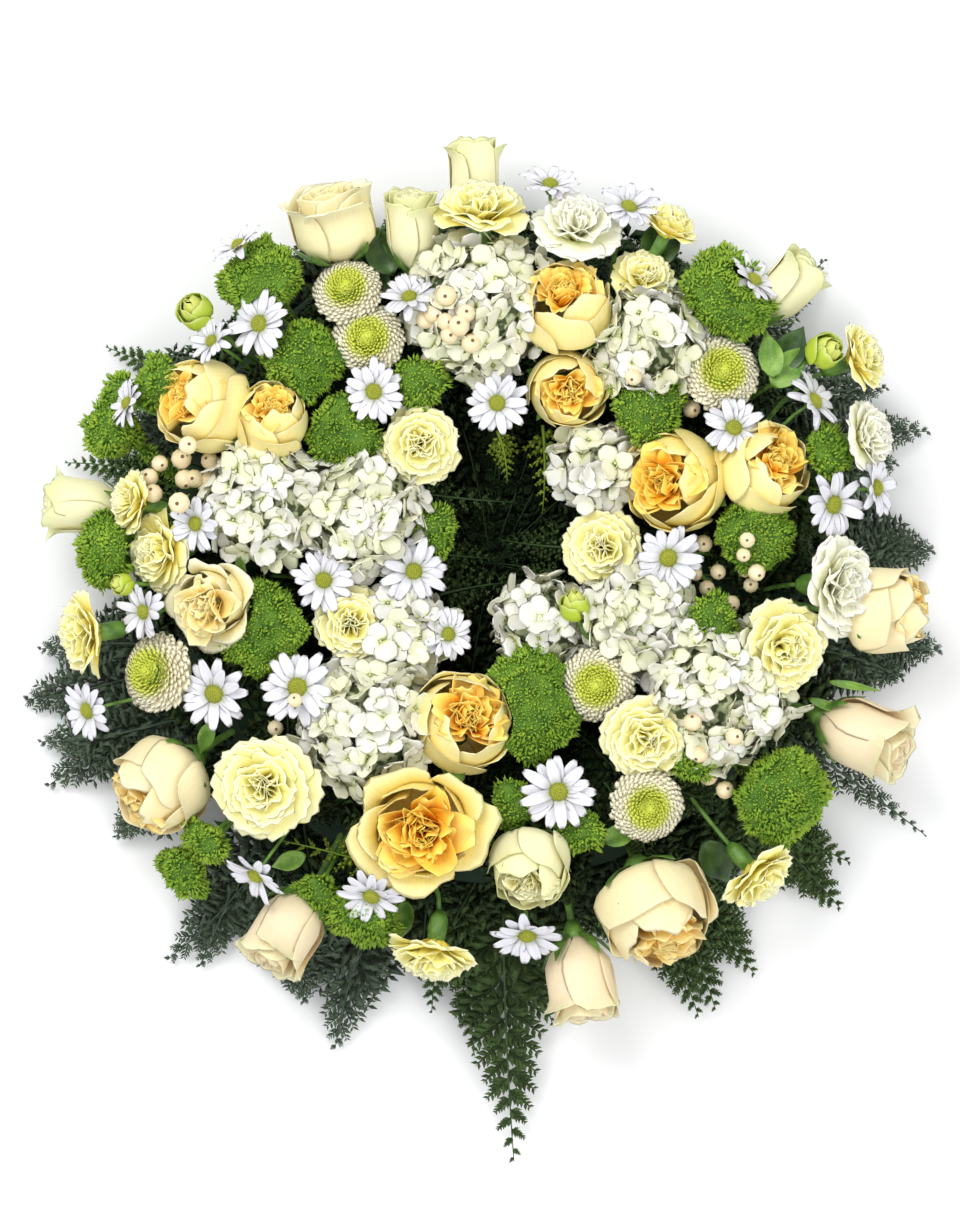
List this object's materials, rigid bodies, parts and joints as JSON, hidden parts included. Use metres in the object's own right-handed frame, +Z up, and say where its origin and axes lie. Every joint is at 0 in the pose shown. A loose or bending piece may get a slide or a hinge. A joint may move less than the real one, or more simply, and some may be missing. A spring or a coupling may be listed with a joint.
{
  "type": "funeral wreath",
  "caption": "Round funeral wreath of cream, yellow and white cut flowers with green filler and fern, on a ring of wet floral foam in a plastic tray.",
  "frame": {"origin": "middle of the whole wreath in plan, on the surface it lies on; the foam ring's own centre is 60 mm towards +Y of it, because the longest fern hangs at -Y", "axes": "+Z up out of the flowers' face, +Y towards the top of the wreath as it is displayed, +X to the viewer's right"},
  "size_m": [0.6446, 0.7248, 0.1552],
  "materials": {
    "tray_plastic": "moulded, satin",
    "floral_foam": "fine open-cell foam, wet and matt",
    "rose_petals": "soft petal, faint sheen",
    "carnation_petals": "soft petal, matt",
    "chrysanthemum_florets": "soft petal, matt",
    "daisy_petals": "soft petal, matt",
    "hydrangea_florets": "soft petal, matt",
    "trachelium_buds": "fine matt buds",
    "fern_leaf": "leathery leaf, slight gloss",
    "leaf": "leaf, slight gloss",
    "berries": "smooth glossy skin"
  },
  "bodies": {
    "root": {"foam_tray": "tray_plastic", "foam_ring": "floral_foam", "rose_bud_north": "rose_petals", "rose_cup_northwest": "rose_petals", "rose_bud_northwest": "rose_petals", "garden_rose_north": "rose_petals", "garden_rose_north_inner": "rose_petals", "garden_rose_west_upper": "rose_petals", "garden_rose_west_inner": "rose_petals", "rose_bud_west": "rose_petals", "rose_west": "rose_petals", "rose_cup_southwest": "rose_petals", "rose_bud_southwest": "rose_petals", "garden_rose_south_inner": "rose_petals", "garden_rose_south": "rose_petals", "rose_south": "rose_petals", "rose_bud_south": "rose_petals", "rose_cup_southeast": "rose_petals", "garden_rose_east_inner": "rose_petals", "rose_cup_east_upper": "rose_petals", "rose_bud_east_lower": "rose_petals", "rose_cup_east": "rose_petals", "rose_bud_northeast": "rose_petals", "carnations_north": "carnation_petals", "carnations_northeast": "carnation_petals", "carnations_east_upper": "carnation_petals", "carnations_east": "carnation_petals", "carnations_southeast": "carnation_petals", "carnations_southwest": "carnation_petals", "carnations_west_inner": "carnation_petals", "carnations_west": "carnation_petals", "chrysanthemums_northwest": "chrysanthemum_florets", "chrysanthemums_southeast": "chrysanthemum_florets", "chrysanthemum_west": "chrysanthemum_florets", "chrysanthemum_northeast": "chrysanthemum_florets", "daisies_north": "daisy_petals", "daisies_northwest": "daisy_petals", "daisies_east": "daisy_petals", "daisies_west": "daisy_petals", "daisies_southwest": "daisy_petals", "daisies_south": "daisy_petals", "hydrangea_north": "hydrangea_florets", "hydrangea_northeast": "hydrangea_florets", "hydrangea_west": "hydrangea_florets", "hydrangea_southwest": "hydrangea_florets", "hydrangea_east": "hydrangea_florets", "trachelium_northwest": "trachelium_buds", "trachelium_west": "trachelium_buds", "trachelium_west_inner": "trachelium_buds", "trachelium_south_inner": "trachelium_buds", "trachelium_northeast": "trachelium_buds", "trachelium_southeast": "trachelium_buds", "trachelium_east": "trachelium_buds", "fern_fan_west": "fern_leaf", "fern_fan_southwest": "fern_leaf", "fern_fan_south": "fern_leaf", "fern_fan_southeast": "fern_leaf", "fern_fan_east": "fern_leaf", "fern_fan_northeast": "fern_leaf", "fern_fan_northwest": "fern_leaf"}
  },
  "joints": []
}
